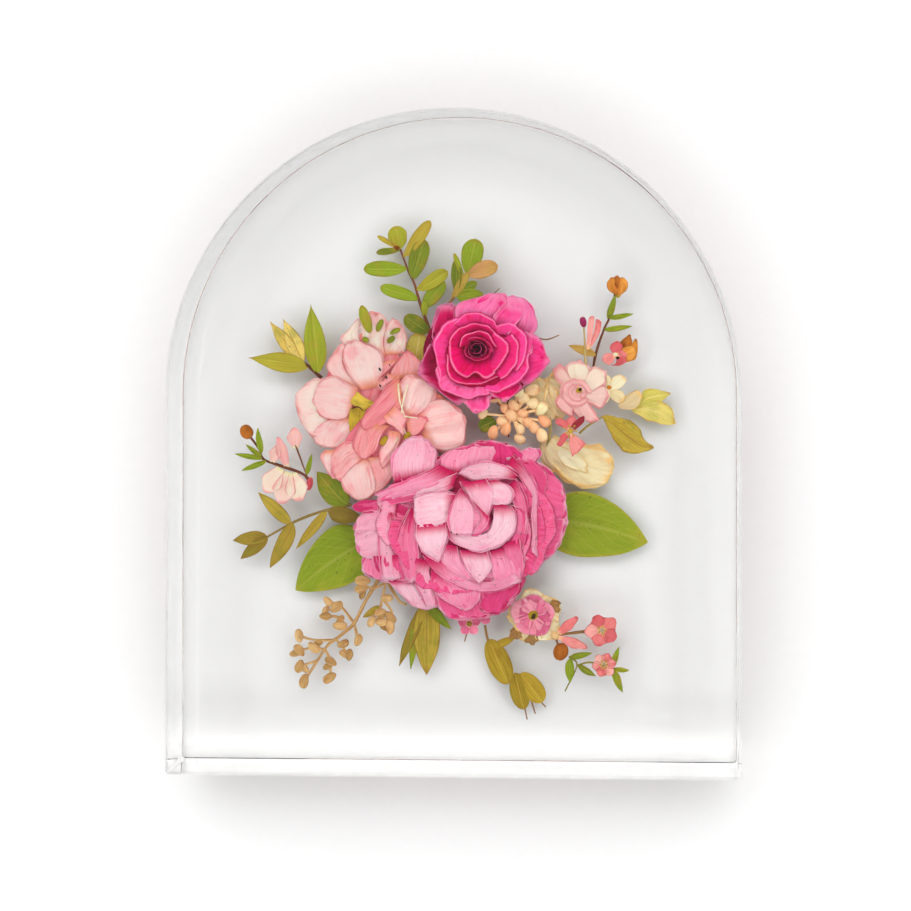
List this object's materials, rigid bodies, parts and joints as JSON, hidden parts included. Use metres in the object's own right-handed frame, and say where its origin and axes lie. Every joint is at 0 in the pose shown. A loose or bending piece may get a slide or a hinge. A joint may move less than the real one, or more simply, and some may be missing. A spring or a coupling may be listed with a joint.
{
  "type": "pressed flower resin plaque",
  "caption": "Arch-topped block of clear resin with a dried bouquet of flowers, leaves and seed heads sealed inside.",
  "frame": {"origin": "middle of the block's back face, on the surface that it lies on", "axes": "+X to the right of the display face, +Y towards the top of the arch, +Z out of the display face"},
  "size_m": [0.203, 0.235, 0.035],
  "materials": {
    "clear_resin": "clear cast resin, polished",
    "peony": "dried wrinkled pink petals",
    "rose": "dried hot pink petals",
    "blush_bloom_upper": "thin pale blush petals",
    "blush_bloom_lower": "thin pale blush petals, veined",
    "leaf_big_left": "pressed green leaf",
    "leaf_big_right": "pressed green leaf",
    "leaf_bottom_pair": "pressed olive leaves",
    "leaf_yellow_behind": "pressed yellow-green leaf",
    "leaf_ruffled": "pressed olive-yellow leaf",
    "leaf_yellow_right": "pressed yellow leaf",
    "sprig_top_left": "pressed olive leaves on a red-brown twig",
    "sprig_top_centre": "pressed green and tan leaves",
    "sprig_left_pointed": "pressed tan and olive leaves",
    "sprig_left_buds": "dried buds and waxy petals",
    "sprig_left_olive": "pressed olive leaves",
    "sprig_right": "dried twig with a brown bud",
    "seed_sprig": "dried straw-coloured seed capsules",
    "seed_cluster": "dried straw-coloured seed capsules",
    "flower_small_pink": "dried pink petals",
    "pod_sprig": "dried olive pods",
    "anemone": "dried mauve petals",
    "trumpet_sprig": "dried coral pink petals",
    "blossom_sprig": "dried coral pink petals and green leaves",
    "bead_cluster": "dried peach-coloured seed buds",
    "cream_petals": "dried cream petals",
    "wax_flower": "dried blush petals",
    "coral_star": "dried coral petals",
    "bud_magenta": "dried magenta bud and pink petals",
    "flower_coral": "dried coral petals",
    "blossom_cream": "dried cream petals and a tan leaf",
    "capsule_brown": "dried brown capsule"
  },
  "bodies": {
    "root": {"resin_back": "clear_resin", "resin_front": "clear_resin", "peony": "peony", "rose": "rose", "blush_bloom_upper": "blush_bloom_upper", "blush_bloom_lower": "blush_bloom_lower", "leaf_big_left": "leaf_big_left", "leaf_big_right": "leaf_big_right", "leaf_bottom_pair": "leaf_bottom_pair", "leaf_yellow_behind": "leaf_yellow_behind", "leaf_ruffled": "leaf_ruffled", "leaf_yellow_right": "leaf_yellow_right", "sprig_top_left": "sprig_top_left", "sprig_top_centre": "sprig_top_centre", "sprig_left_pointed": "sprig_left_pointed", "sprig_left_buds": "sprig_left_buds", "sprig_left_olive": "sprig_left_olive", "sprig_right": "sprig_right", "seed_sprig": "seed_sprig", "seed_cluster": "seed_cluster", "flower_small_pink": "flower_small_pink", "pod_sprig": "pod_sprig", "anemone": "anemone", "trumpet_sprig": "trumpet_sprig", "blossom_sprig": "blossom_sprig", "bead_cluster": "bead_cluster", "cream_petals": "cream_petals", "wax_flower": "wax_flower", "coral_star": "coral_star", "bud_magenta": "bud_magenta", "flower_coral": "flower_coral", "blossom_cream": "blossom_cream", "capsule_brown": "capsule_brown"}
  },
  "joints": []
}
